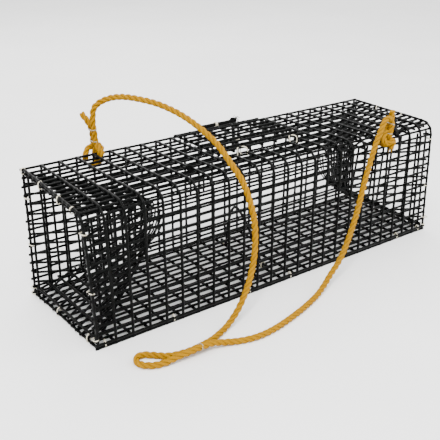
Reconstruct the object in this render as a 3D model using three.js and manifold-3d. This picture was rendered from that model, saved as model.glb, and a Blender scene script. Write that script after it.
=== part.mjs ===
// Rigid box trap of welded, vinyl-coated wire mesh for crabs, eels and bait fish.
// Millimetres, +Z up. +X runs along the trap, -Y is the front wall, the trap rests on Z = 0.
// The mesh is drawn at twice its real pitch, as an inner grille layer and an outer layer of cross wires.

import * as THREE from 'three';
import { mergeVertices } from 'three/addons/utils/BufferGeometryUtils.js';
import Module from 'manifold-3d';

const wasm = await Module();
wasm.setup();

// Driving dimensions
const LENGTH = 609.6;              // 24 in: 24 mesh cells of one inch
const WIDTH = 183;
const HEIGHT = 188;
const CELLS_LONG = 12;             // every second cross wire of the real mesh
const BEND_RADIUS = 20;            // outside radius of the front top bend
const BAR = 2.7;                   // coated wire
const GRILLE_TOP = 2.4;            // depth of the grille layer below the outer surface
const GRILLE_BOTTOM = 5.1;
const CROSS_WIRE_DEPTH = 2.6;
const CROSS_WIRE_WIDTH = 2.4;
const GAP = 0.3;                   // clearance between neighbouring pieces
const BEND_SEGMENTS = 4;

// Funnel entrances
const FUNNEL_DEPTH = 125;
const MOUTH_HALF_WIDTH = 21;
const MOUTH_LOW = 78;
const MOUTH_HIGH = 147;
const FUNNEL_EDGE_INSET = 3.5;     // room left where two funnel panels meet
const FUNNEL_BEND_CUT = 12;        // corner left open behind the front top bend
const FUNNEL_RECESS = 1.3;         // keeps the sloping edge bars behind the trap's end

// Hatch in the top
const OPENING = { x0: -63.5, x1: 76.2, y0: -28.8, y1: 86.4 };
const HATCH = { x0: -76.2, x1: 88.9, y0: -31.7, y1: 91.5 };
const HATCH_BOTTOM = HEIGHT + 0.6;
const HATCH_HINGE_X = [-40, -29, 55, 63];

// Latch of shock cord, lying along the hatch's rear edge
const LATCH_Y = 97;
const LATCH_Z = 190;
const LATCH_KNOT_X = 46;
const LATCH_CORD_END_X = -14;
const SHOCK_CORD_RADIUS = 3;
const ANCHOR_CORD_TOP = 184.6;
const ANCHOR_CORD_BOTTOM = 148;
const ANCHOR_CORD_Y = 94.9;
const ANCHOR_RING_Z = 162;

// Bait clip
const CLIP_WIRE_RADIUS = 2;
const CLIP_HINGE_Z = 7.6;
const CLIP_RING_Y = [-40, 55];

// Hog rings
const RING_WIRE = 1.8;
const SEAM_RING_X = [-292.1, -190.5, -63.5, 12.7, 114.3, 241.3, 292.1];
const END_RING_Y = { top: [33, -24], bottom: [16, -66] };
const END_RING_Z = { front: [160, 80], back: [146.5, 78] };

// Rope bridle
const ROPE_RADIUS = 4;
const ROPE_SIDES = 8;
const RIGHT_RING_LEAN = 0.2;       // the right anchor's clamp rings lean with the strands they hold

const COATED = { color: 0x161a18, roughness: 0.45, metalness: 0.0 };
const GALVANISED = { color: 0xcfc9b4, roughness: 0.35, metalness: 0.8 };
const SHOCK_CORD = { color: 0x0c0d0c, roughness: 0.8, metalness: 0.0 };
const ROPE = { color: 0xf6b010, roughness: 0.6, metalness: 0.0 };

const trap = new THREE.Group();

function add(name, geometry, look, position = [0, 0, 0], rotation = [0, 0, 0]) {
  const mesh = new THREE.Mesh(geometry, new THREE.MeshStandardMaterial(look));
  mesh.name = name;
  mesh.position.set(...position);
  mesh.rotation.set(...rotation);
  trap.add(mesh);
}

// ---- Solids ----

function toSolid(geometry) {
  const bare = geometry.clone();
  bare.deleteAttribute('normal');
  bare.deleteAttribute('uv');
  const merged = mergeVertices(bare, 1e-4);
  return new wasm.Manifold(new wasm.Mesh({
    numProp: 3,
    vertProperties: new Float32Array(merged.attributes.position.array),
    triVerts: new Uint32Array(merged.index.array),
  }));
}

function toGeometry(solid) {
  const { vertProperties, triVerts } = solid.getMesh();
  const geometry = new THREE.BufferGeometry();
  geometry.setAttribute('position', new THREE.BufferAttribute(new Float32Array(vertProperties), 3));
  geometry.setIndex(new THREE.BufferAttribute(new Uint32Array(triVerts), 1));
  geometry.computeVertexNormals();
  return geometry;
}

// A sheet over the cells between the lines us and vs, from depth w0 to depth w1.
// isFilled(i, j) says which cells hold material; place(u, v, w) gives a corner's position.
function cellSheet(us, vs, w0, w1, isFilled, place) {
  const positions = [];
  const quad = (...corners) => {
    for (const k of [0, 1, 2, 0, 2, 3]) {
      positions.push(...place(...corners[k]));
    }
  };
  const filled = (i, j) => i >= 0 && j >= 0 && i + 1 < us.length && j + 1 < vs.length
    && isFilled(i, j);
  for (let i = 0; i + 1 < us.length; i += 1) {
    for (let j = 0; j + 1 < vs.length; j += 1) {
      if (!filled(i, j)) {
        continue;
      }
      const [u0, u1, v0, v1] = [us[i], us[i + 1], vs[j], vs[j + 1]];
      quad([u0, v0, w1], [u1, v0, w1], [u1, v1, w1], [u0, v1, w1]);
      quad([u0, v1, w0], [u1, v1, w0], [u1, v0, w0], [u0, v0, w0]);
      if (!filled(i - 1, j)) {
        quad([u0, v0, w0], [u0, v0, w1], [u0, v1, w1], [u0, v1, w0]);
      }
      if (!filled(i + 1, j)) {
        quad([u1, v0, w0], [u1, v1, w0], [u1, v1, w1], [u1, v0, w1]);
      }
      if (!filled(i, j - 1)) {
        quad([u0, v0, w0], [u1, v0, w0], [u1, v0, w1], [u0, v0, w1]);
      }
      if (!filled(i, j + 1)) {
        quad([u0, v1, w0], [u0, v1, w1], [u1, v1, w1], [u1, v1, w0]);
      }
    }
  }
  const geometry = new THREE.BufferGeometry();
  geometry.setAttribute('position', new THREE.Float32BufferAttribute(positions, 3));
  const welded = mergeVertices(geometry, 1e-4);
  welded.computeVertexNormals();
  return welded;
}

function polygon(points) {
  return points.map(([x, y]) => new THREE.Vector2(x, y));
}

// A flat plate between z0 and z1 with straight-sided holes.
function plate(outline, holes, z0, z1) {
  const shape = new THREE.Shape(polygon(outline));
  shape.holes = holes.map((hole) => new THREE.Path(polygon(hole)));
  const solid = new THREE.ExtrudeGeometry(shape, { depth: z1 - z0, bevelEnabled: false });
  return solid.translate(0, 0, z0);
}

function evenLines(first, last, cells) {
  return Array.from({ length: cells + 1 }, (_, i) => first + ((last - first) * i) / cells);
}

function tube(points, radius, sides, steps) {
  const curve = new THREE.CatmullRomCurve3(points.map((p) => new THREE.Vector3(...p)));
  const section = new THREE.Shape();
  section.absarc(0, 0, radius, 0, 2 * Math.PI);
  return new THREE.ExtrudeGeometry(section, { steps, curveSegments: sides / 2, extrudePath: curve });
}

// ---- Mesh walls ----

const END_LINE = LENGTH / 2 - BAR / 2;
const CROSS_LINES = evenLines(-END_LINE, END_LINE, CELLS_LONG);

// Both edges of the bars that lie on the given lines.
function barEdges(lines) {
  return lines.flatMap((line) => [line - BAR / 2, line + BAR / 2]);
}

const isBar = (i, j) => i % 2 === 0 || j % 2 === 0;

// A wall in its own plane: the outer surface is at z = 0 and the grille lies behind it.
function meshWall(xLines, yLines, crossWires, cutout = null) {
  const us = barEdges(xLines);
  const vs = barEdges(yLines);
  const isFilled = (i, j) => {
    const inCutout = cutout !== null
      && us[i] > cutout.x0 - GAP && us[i] < cutout.x1 - GAP
      && vs[j] > cutout.y0 - GAP && vs[j] < cutout.y1 - GAP;
    return isBar(i, j) && !inCutout;
  };
  const flat = (u, v, w) => [u, v, w];
  let solid = toSolid(cellSheet(us, vs, -GRILLE_BOTTOM, -GRILLE_TOP, isFilled, flat));
  for (const [x, y0, y1] of crossWires) {
    const sides = [x - CROSS_WIRE_WIDTH / 2, x + CROSS_WIRE_WIDTH / 2];
    const wire = cellSheet(sides, [y0, y1], -CROSS_WIRE_DEPTH, 0, () => true, flat);
    solid = solid.add(toSolid(wire));
  }
  return toGeometry(solid);
}

function crossWiresBetween(xLines, y0, y1) {
  return xLines.slice(1, -1).map((x) => [x, y0, y1]);
}

function frontWall() {
  const low = GRILLE_BOTTOM + GAP + BAR / 2;
  const high = HEIGHT - BEND_RADIUS - GAP / 2 - BAR / 2;
  const wires = crossWiresBetween(CROSS_LINES, low - BAR / 2, high + BAR / 2);
  return meshWall(CROSS_LINES, evenLines(low, high, 5), wires);
}

function backWall() {
  const low = -(HEIGHT - GRILLE_BOTTOM - GAP - BAR / 2);
  const high = -(GRILLE_BOTTOM + GAP + BAR / 2);
  const wires = crossWiresBetween(CROSS_LINES, low - BAR / 2, high + BAR / 2);
  return meshWall(CROSS_LINES, evenLines(low, high, 6), wires);
}

function floorPanel() {
  const edge = WIDTH / 2 - GRILLE_TOP - BAR / 2;
  const wires = crossWiresBetween(CROSS_LINES, -WIDTH / 2, WIDTH / 2);
  const middle = wires[wires.length / 2 - 0.5];
  middle[1] = -CLIP_RING_Y[1] + 5;
  middle[2] = -CLIP_RING_Y[0] - 5;
  return meshWall(CROSS_LINES, evenLines(-edge, edge, 6), wires);
}

function topSheet() {
  const beside = OPENING.x0 - BAR / 2;
  const pastOpening = OPENING.x1 + BAR / 2;
  const xLines = [
    ...evenLines(-END_LINE, beside, 5),
    ...evenLines(beside, pastOpening, 3).slice(1, -1),
    ...evenLines(pastOpening, END_LINE, 5),
  ];
  const front = -WIDTH / 2 + BEND_RADIUS + GAP / 2 + BAR / 2;
  const back = WIDTH / 2 - GRILLE_TOP - BAR / 2;
  const hinge = OPENING.y0 - BAR / 2;
  const yLines = [...evenLines(front, hinge, 2), ...evenLines(hinge, back, 4).slice(1)];
  const wires = xLines.slice(1, -1).map((x) => {
    const overOpening = x > OPENING.x0 && x < OPENING.x1;
    return [x, front - BAR / 2, overOpening ? hinge : WIDTH / 2];
  });
  return meshWall(xLines, yLines, wires, OPENING);
}

// The quarter-round bend that joins the front wall to the top, round an axis along X.
function frontBend() {
  const gap = GAP / 2 / BEND_RADIUS;
  const rail = BAR / (BEND_RADIUS - GRILLE_TOP);
  const angles = [
    gap, ...evenLines(gap + rail, Math.PI / 2 - gap - rail, BEND_SEGMENTS), Math.PI / 2 - gap];
  const isFilled = (i, j) => i % 2 === 0 || j === 0 || j === angles.length - 2;
  const curved = (u, angle, w) => {
    const radius = BEND_RADIUS + w;
    return [u, -radius * Math.cos(angle), radius * Math.sin(angle)];
  };
  const edges = barEdges(CROSS_LINES);
  let solid = toSolid(
    cellSheet(edges, angles, -GRILLE_BOTTOM, -GRILLE_TOP, isFilled, curved));
  for (const x of CROSS_LINES.slice(1, -1)) {
    const sides = [x - CROSS_WIRE_WIDTH / 2, x + CROSS_WIRE_WIDTH / 2];
    const wire = cellSheet(sides, angles, -CROSS_WIRE_DEPTH, 0, () => true, curved);
    solid = solid.add(toSolid(wire));
  }
  return toGeometry(solid);
}

function hatch() {
  const xLines = evenLines(HATCH.x0 + BAR / 2, HATCH.x1 - BAR / 2, 4);
  const yLines = evenLines(HATCH.y0 + BAR / 2, HATCH.y1 - BAR / 2, 4);
  return meshWall(xLines, yLines, crossWiresBetween(xLines, HATCH.y0, HATCH.y1));
}

function addBody() {
  add('body_floor', floorPanel(), COATED, [0, 0, 0], [Math.PI, 0, 0]);
  add('body_front_wall', frontWall(), COATED, [0, -WIDTH / 2, 0], [Math.PI / 2, 0, 0]);
  add('body_back_wall', backWall(), COATED, [0, WIDTH / 2, 0], [-Math.PI / 2, 0, 0]);
  add('body_top', topSheet(), COATED, [0, 0, HEIGHT]);
  add('body_front_bend', frontBend(), COATED, [0, -WIDTH / 2 + BEND_RADIUS, HEIGHT - BEND_RADIUS]);
  add('hatch_door', hatch(), COATED, [0, 0, HATCH_BOTTOM + GRILLE_BOTTOM]);
}

// ---- Funnel entrances ----

// A trapezium of mesh. a and b are the ends of its outer edge, d and c those of its inner edge.
// Its thickness grows from the given surface towards the funnel's axis.
function funnelPanel(a, b, c, d, axisPoint) {
  const along = b.clone().sub(a).normalize();
  const slope = d.clone().sub(a);
  slope.addScaledVector(along, -slope.dot(along)).normalize();
  const normal = along.clone().cross(slope);
  if (normal.dot(axisPoint.clone().sub(a)) < 0) {
    return funnelPanel(b, a, d, c, axisPoint);
  }
  const flat = (p) => [p.clone().sub(a).dot(along), p.clone().sub(a).dot(slope)];
  const [[x0], [x1], [x2, depth], [x3]] = [a, b, c, d].map(flat);
  const left = (v) => x0 + ((x3 - x0) * v) / depth + FUNNEL_EDGE_INSET;
  const right = (v) => x1 + ((x2 - x1) * v) / depth - FUNNEL_EDGE_INSET;
  const columns = 4;
  const rows = 2;
  const us = evenLines(0, 1, columns).flatMap((share) => [[share, -BAR / 2], [share, BAR / 2]]);
  const vs = barEdges(evenLines(BAR / 2, depth - BAR / 2, rows));
  const place = new THREE.Matrix4().makeBasis(along, slope, normal).setPosition(a);
  const sloped = ([share, offset], v, w) => {
    const first = left(v) + BAR / 2;
    const last = right(v) - BAR / 2;
    return new THREE.Vector3(first + (last - first) * share + offset, v, w).applyMatrix4(place);
  };
  return cellSheet(us, vs, 0, BAR, isBar, sloped);
}

function addFunnel(side, direction) {
  const outerX = direction * (LENGTH / 2 - FUNNEL_RECESS);
  const innerX = direction * (LENGTH / 2 - FUNNEL_DEPTH);
  const y = WIDTH / 2 - GRILLE_BOTTOM - GAP;
  const low = GRILLE_BOTTOM + GAP;
  const high = HEIGHT - low;
  const outer = (sy, z) => new THREE.Vector3(outerX, sy * y, z);
  const inner = (sy, z) => new THREE.Vector3(innerX, sy * MOUTH_HALF_WIDTH, z);
  const axis = new THREE.Vector3(outerX, 0, (low + high) / 2);
  const bendTop = outer(-1, high).add(new THREE.Vector3(0, FUNNEL_BEND_CUT, 0));
  const bendFront = outer(-1, high - FUNNEL_BEND_CUT);
  const panels = {
    top: [bendTop, outer(1, high), inner(1, MOUTH_HIGH), inner(-1, MOUTH_HIGH)],
    bottom: [outer(-1, low), outer(1, low), inner(1, MOUTH_LOW), inner(-1, MOUTH_LOW)],
    front: [outer(-1, low), bendFront, inner(-1, MOUTH_HIGH), inner(-1, MOUTH_LOW)],
    back: [outer(1, low), outer(1, high), inner(1, MOUTH_HIGH), inner(1, MOUTH_LOW)],
  };
  for (const [place, corners] of Object.entries(panels)) {
    add(`${side}_funnel_${place}`, funnelPanel(...corners, axis), COATED);
  }
}

// ---- Hog rings ----

// A closed wire ring lying in the plane of u and v, with the half sizes of its inside.
function addRing(name, centre, u, v, halfU, halfV) {
  const corners = (hu, hv, cut) => [
    [hu - cut, -hv], [hu, cut - hv], [hu, hv - cut], [hu - cut, hv],
    [cut - hu, hv], [-hu, hv - cut], [-hu, cut - hv], [cut - hu, -hv],
  ];
  const outside = corners(halfU + RING_WIRE, halfV + RING_WIRE, 1.4);
  const solid = plate(outside, [corners(halfU, halfV, 0.4)], -RING_WIRE / 2, RING_WIRE / 2);
  const uAxis = new THREE.Vector3(...u);
  const vAxis = new THREE.Vector3(...v);
  const turn = new THREE.Matrix4().makeBasis(uAxis, vAxis, uAxis.clone().cross(vAxis));
  add(name, solid.applyMatrix4(turn), GALVANISED, centre);
}

const X = [1, 0, 0];
const Y = [0, 1, 0];
const Z = [0, 0, 1];

function addSeamRings() {
  SEAM_RING_X.forEach((x, i) => {
    addRing(`seam_ring_${i + 1}`, [x, -87.6, 5.25], Y, Z, 1.9, 3.15);
  });
}

function addEndRings(side, direction) {
  const x = direction * (LENGTH / 2 - 1.9);
  const reach = 5.7;
  const insideX = 2.3;
  const inside = 3.6;
  END_RING_Y.top.forEach((y, i) => {
    addRing(`${side}_end_ring_top_${i + 1}`, [x, y, HEIGHT - reach], X, Z, insideX, inside);
  });
  END_RING_Y.bottom.forEach((y, i) => {
    addRing(`${side}_end_ring_bottom_${i + 1}`, [x, y, reach], X, Z, insideX, inside);
  });
  END_RING_Z.front.forEach((z, i) => {
    addRing(`${side}_end_ring_front_${i + 1}`, [x, reach - WIDTH / 2, z], X, Y, insideX, inside);
  });
  END_RING_Z.back.forEach((z, i) => {
    addRing(`${side}_end_ring_back_${i + 1}`, [x, WIDTH / 2 - reach, z], X, Y, insideX, inside);
  });
}

function addHatchRings() {
  HATCH_HINGE_X.forEach((x, i) => {
    addRing(`hatch_hinge_ring_${i + 1}`, [x, HATCH.y0 + BAR / 2, 187.4], Y, Z, 2.4, 4.8);
  });
}

// ---- Latch ----

// Elastic cord turned round its own axis, with the knot at its fixed end.
function shockCordWithKnot() {
  const length = LATCH_KNOT_X - LATCH_CORD_END_X;
  const knot = 5;
  const profile = [
    [0, -knot], [3, -4], [knot, -1.2], [knot, 1.2], [SHOCK_CORD_RADIUS, 4.2],
    [SHOCK_CORD_RADIUS, length], [0, length],
  ];
  return new THREE.LatheGeometry(polygon(profile), 10);
}

function addLatch() {
  const alongMinusX = [0, 0, Math.PI / 2];
  add('latch_cord', shockCordWithKnot(), SHOCK_CORD, [LATCH_KNOT_X, LATCH_Y, LATCH_Z], alongMinusX);
  const hookPath = [
    [LATCH_CORD_END_X - GAP, LATCH_Y, LATCH_Z], [-19, LATCH_Y, LATCH_Z],
    [-23, 96.2, LATCH_Z + 0.4], [-25.5, 94.4, LATCH_Z + 0.8], [-26, 92.2, LATCH_Z + 1],
  ];
  add('latch_hook', tube(hookPath, 1.2, 8, 10), GALVANISED);
  const grip = SHOCK_CORD_RADIUS + GAP;
  addRing('latch_clamp_ring', [12.7, LATCH_Y, LATCH_Z], Y, Z, grip, grip);
  const anchorPath = [
    [LATCH_KNOT_X, LATCH_Y, ANCHOR_CORD_TOP], [LATCH_KNOT_X, ANCHOR_CORD_Y, 174],
    [LATCH_KNOT_X, ANCHOR_CORD_Y, ANCHOR_RING_Z], [LATCH_KNOT_X, ANCHOR_CORD_Y, ANCHOR_CORD_BOTTOM],
  ];
  add('latch_anchor_cord', tube(anchorPath, SHOCK_CORD_RADIUS, 8, 6), SHOCK_CORD);
  addRing('latch_anchor_ring', [47.6, 92.15, ANCHOR_RING_Z], X, Y, 4.9, 6.05);
}

// ---- Bait clip ----

function addBaitClip() {
  const [frontRingY, backRingY] = CLIP_RING_Y;
  const path = [
    [0, frontRingY - 8, CLIP_HINGE_Z], [0, frontRingY + 3, CLIP_HINGE_Z], [-1.5, -33, 15],
    [-14, 2, 84], [-15, 7.5, 89], [-14, 13, 84],
    [-1.5, 48, 15], [0, backRingY - 3, CLIP_HINGE_Z], [0, backRingY + 8, CLIP_HINGE_Z],
  ];
  add('bait_clip', tube(path, CLIP_WIRE_RADIUS, 8, 40), COATED);
  addRing('bait_clip_ring_front', [0, frontRingY, 6], X, Z, 2.5, 3.9);
  addRing('bait_clip_ring_back', [0, backRingY, 6], X, Z, 2.5, 3.9);
}

// ---- Rope bridle ----

// One length of rope: up from the left anchor, over the trap, down to the floor in front,
// round its middle eye, and up again to the right anchor.
const BRIDLE_ROUTE = [
  [-198, 91.8, 212.4], [-199, 92, 232], [-196, 90.5, 251], [-185.5, 83, 261], [-170, 64, 267.5],
  [-147, 32, 265], [-132, 12, 259], [-119, -12, 249.5], [-109, -36, 237], [-100.5, -62, 220.2],
  [-95.2, -86, 198.6], [-87.2, -99.5, 176.5], [-79.8, -108, 146], [-78, -114, 123], [-81, -120, 100],
  [-87.3, -126, 78], [-97, -132, 58], [-110, -138, 39.7], [-125.4, -142, 20.8], [-144, -146, 7],
  [-163, -153.5, 4.6], [-181, -160.5, 5.2], [-205, -165.2, 6.3], [-224, -163.5, 5], [-243.2, -156.7, 4.3],
  [-257, -144.5, 4.3], [-268, -136.2, 4.3], [-278, -139.5, 4.3], [-279, -152.5, 4.3], [-267, -163.5, 4.3],
  [-254, -167.2, 5], [-238, -169.6, 8], [-221, -171.5, 9.8], [-205, -172.1, 10.5], [-187, -172.6, 9.2],
  [-170, -176, 5.6], [-152, -182.5, 4.3], [-131, -187.5, 4.3], [-102.7, -186.7, 4.3], [-61, -177.6, 4.3],
  [-21.7, -165.4, 4.4], [12, -152, 5.8], [40.2, -142, 18.2], [67, -135, 35.3], [90.5, -128, 64.3],
  [109.8, -121, 95.1], [127, -114, 126], [142.7, -108, 154.1], [157.5, -103, 178.2], [171.5, -100, 197.5],
  [176.5, -99, 205], [181.5, -97.8, 211.8], [188.5, -96.2, 215], [195.3, -95.2, 211.3], [197.5, -95, 204.5],
  [196.2, -95, 198.4],
];

const LEFT_ANCHOR = [
  [-206, 111, 240], [-201, 103, 229], [-197.5, 100.4, 218], [-197, 100.2, 205], [-197, 97.6, 192],
  [-197, 95.75, 182.75], [-197, 93.4, 177.1], [-197, 87.75, 174.75], [-197, 82.1, 177.1],
  [-197, 79.75, 182.75], [-197, 81.4, 191], [-197, 89.3, 198], [-197.6, 91.6, 205],
  [-198, 91.8, 212],
];

const RIGHT_ANCHOR = [
  [199.5, -84, 223], [198.5, -85.6, 214], [197.2, -86.2, 204.5], [194.5, -85.8, 195], [192, -82.6, 184],
  [191, -80.2, 175.5], [191, -79.6, 168], [192, -82, 162], [193.5, -87.75, 159.7], [195, -93.8, 162.4],
  [195, -96, 168], [193.6, -96.2, 179], [194, -95.3, 189], [196.05, -95, 198],
];

function addBridle() {
  add('rope_bridle', tube(BRIDLE_ROUTE, ROPE_RADIUS, ROPE_SIDES, 80), ROPE);
  add('rope_left_anchor', tube(LEFT_ANCHOR, ROPE_RADIUS, ROPE_SIDES, 24), ROPE);
  add('rope_right_anchor', tube(RIGHT_ANCHOR, ROPE_RADIUS, ROPE_SIDES, 24), ROPE);
  addRing('rope_left_ring_lower', [-197.3, 95.9, 203], X, Y, 4.8, 9);
  addRing('rope_left_ring_upper', [-198, 96, 220], X, Y, 5, 9);
  const lean = [Math.cos(RIGHT_RING_LEAN), 0, -Math.sin(RIGHT_RING_LEAN)];
  addRing('rope_right_ring_lower', [193.9, -90, 190], lean, Y, 5.9, 10);
  addRing('rope_right_ring_upper', [197.4, -90.6, 204], lean, Y, 5.9, 9.6);
  addRing('rope_eye_ring', [-205, -168.65, 8.4], Y, Z, 7.9, 6.5);
}

addBody();
addFunnel('left', -1);
addFunnel('right', 1);
addHatchRings();
addLatch();
addBaitClip();
addSeamRings();
addEndRings('left', -1);
addEndRings('right', 1);
addBridle();

export default trap;
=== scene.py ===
"""A welded-mesh crab trap with a rope bridle, on a pale studio floor.

Metres, +Z up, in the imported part's own frame: +X along the trap, -Y the front wall, floor at Z = 0.
Shapes below are written in millimetres and scaled as their meshes are made.
"""

import math
import random

import bpy
from mathutils import Matrix, Vector, noise


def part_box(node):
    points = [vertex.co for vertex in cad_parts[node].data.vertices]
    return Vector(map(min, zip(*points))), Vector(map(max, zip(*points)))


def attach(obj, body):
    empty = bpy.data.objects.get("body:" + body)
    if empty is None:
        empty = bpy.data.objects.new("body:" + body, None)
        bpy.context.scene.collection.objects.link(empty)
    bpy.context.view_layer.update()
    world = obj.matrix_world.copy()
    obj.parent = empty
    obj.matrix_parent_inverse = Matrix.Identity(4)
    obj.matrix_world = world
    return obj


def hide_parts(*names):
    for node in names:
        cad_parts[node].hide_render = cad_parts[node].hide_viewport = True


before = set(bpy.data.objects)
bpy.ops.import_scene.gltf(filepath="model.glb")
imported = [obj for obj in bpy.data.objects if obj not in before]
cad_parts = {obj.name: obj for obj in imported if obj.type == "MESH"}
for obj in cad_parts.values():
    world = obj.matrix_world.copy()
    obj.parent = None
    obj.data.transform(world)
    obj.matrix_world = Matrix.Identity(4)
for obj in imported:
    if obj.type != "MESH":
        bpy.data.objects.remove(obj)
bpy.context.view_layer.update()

# Unseeded, mathutils.noise takes its offsets from the clock, and the mesh's waves differ on each run.
noise.seed_set(4)

MM = 0.001

# The trap, in millimetres
HALF_LENGTH = 304.8
HALF_WIDTH = 91.5
HEIGHT = 188.0
WIRE_RADIUS = 1.82
LAYER_STEP = 2.7            # centre to centre, from a cross wire to the lengthwise wire welded under it
BEDDED_STEP = 0.3           # the same step where a wire is bedded level with the wires that it crosses
SHARP_RADIUS = 3.9          # outside radius of the folded edges
BEND_RADIUS = 20.0          # outside radius of the front top edge
CROSS_CELLS = 24
HINGE_WIRE_Y = -30.15
SEAM_START = 2.6            # the first lengthwise wire's distance round the outer surface, from the seam
SEAM_END = 6.4              # and the last one's distance from the sheet's other edge
LENGTHWISE_CELLS = (14, 15, 9, 19)   # floor, back wall, top to the hinge wire, and on to the seam
STUB = 3.2                  # how far the lengthwise wires stick out past the last cross wire

# How far each corner of the hand-folded box is pushed along X: (front, back) at the floor and at the top
LEFT_SKEW = ((0.0, -5.0), (0.0, -2.7))
RIGHT_SKEW = ((4.5, 4.0), (-3.0, 8.0))

# The dent in the left end's front top corner
DENT_REACH = 110.0          # how far it reaches along the trap
DENT_IN = 17.0
DENT_DOWN = 11.0

CROWN = 1.4                 # how far the top rises behind its front bend
WELD_SWELLING = 0.2         # how much thicker the coated wire is at a weld, as a share

# The hatch
OPENING_X = (-64.0, 74.5)
OPENING_Y = (-28.0, 84.0)
HATCH_X = (-71.8, 84.3)
HATCH_Y = (-25.9, 85.1)
HATCH_WIRE_Z = 189.95
HATCH_CELLS_X = 6
HATCH_CELLS_Y = 8
HATCH_OVERHANG = 1.2        # how far its lengthwise wires stick out past its side wires

# Funnel entrances: the rim against the trap's end, and the mouth inside
RIM_X = 302.6
RIM_HALF_WIDTH = 85.5
RIM_LOW = 6.4
RIM_HIGH = 181.6
RIM_BEND = 12.0             # how far the rim's front top corner is cut back
MOUTH_X = 180.0
MOUTH_LOW = 82.0
MOUTH_HIGH = 146.0
MOUTH_HALF_LOW = 13.5
MOUTH_HALF_HIGH = 25.5
FUNNEL_PITCH = 14.6         # the funnels are cut from a square mesh
FUNNEL_WIRE = 1.8
FUNNEL_UNEVENNESS = 0.6
PRONGS = 12
PRONG_RADIUS = 1.05
PRONG_LEAN = 17.0           # how far each prong's tip leans into the trap
PRONG_TOP = 131.0

# Rope
ROPE_RADIUS = 4.0
ROPE_FULLNESS = 1.08        # the loose strands stand this much proud of the rope's rated size
STRANDS = 3
LAY_LENGTH = 27.0           # one full turn of a strand round the rope
ROPE_STEP = 1.9
RIGHT_RING_LEAN = 0.2       # radians, as the CAD rings lean

# Latch and bait clip
LATCH_Y = 97.0
LATCH_Z = 190.0
KNOT_X = 46.0
CLAMP_X = 12.7
CLAMP_RADIUS = 3.5
CLIP_RADIUS = 2.15
CLIP_FOOT_Z = 7.6

# Camera, fitted to the corners of the box: metres, and millimetres for the lens
CAMERA_PLACE = (-0.6299, -0.7888, 0.5079)
CAMERA_LOOK = (0.5422, 0.7379, -0.4019)
CAMERA_SENSOR = 36.0
CAMERA_LENS = 59.4


# ---- Meshes swept along paths ----

def evenly(first, last, cells):
    """The cells + 1 stations that part the way from first to last evenly."""
    return [first + (last - first) * i / cells for i in range(cells + 1)]


def smooth_path(points, step):
    """Points about `step` apart on a centripetal Catmull-Rom curve through `points`."""
    knots = [Vector(p) for p in points]
    first = knots[0] * 2 - knots[1]
    last = knots[-1] * 2 - knots[-2]
    padded = [first, *knots, last]
    result = []
    for p0, p1, p2, p3 in zip(padded, padded[1:], padded[2:], padded[3:]):
        t1 = (p1 - p0).length ** 0.5
        t2 = t1 + (p2 - p1).length ** 0.5
        t3 = t2 + (p3 - p2).length ** 0.5
        count = max(1, round((p2 - p1).length / step))
        for i in range(count):
            t = t1 + (t2 - t1) * i / count
            a1 = p0 * ((t1 - t) / t1) + p1 * (t / t1)
            a2 = p1 * ((t2 - t) / (t2 - t1)) + p2 * ((t - t1) / (t2 - t1))
            a3 = p2 * ((t3 - t) / (t3 - t2)) + p3 * ((t - t2) / (t3 - t2))
            b1 = a1 * ((t2 - t) / t2) + a2 * (t / t2)
            b2 = a2 * ((t3 - t) / (t3 - t1)) + a3 * ((t - t1) / (t3 - t1))
            result.append(b1 * ((t2 - t) / (t2 - t1)) + b2 * ((t - t1) / (t2 - t1)))
    result.append(knots[-1])
    return result


def carried_frames(path):
    """(tangent, side, up) at each point of a path, carried along it without twisting."""
    tangents = []
    for i in range(len(path)):
        ahead = path[min(i + 1, len(path) - 1)]
        behind = path[max(i - 1, 0)]
        tangents.append((ahead - behind).normalized())
    side = tangents[0].orthogonal().normalized()
    frames = []
    for tangent in tangents:
        side = (side - tangent * side.dot(tangent)).normalized()
        frames.append((tangent, side, tangent.cross(side)))
    return frames


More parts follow.
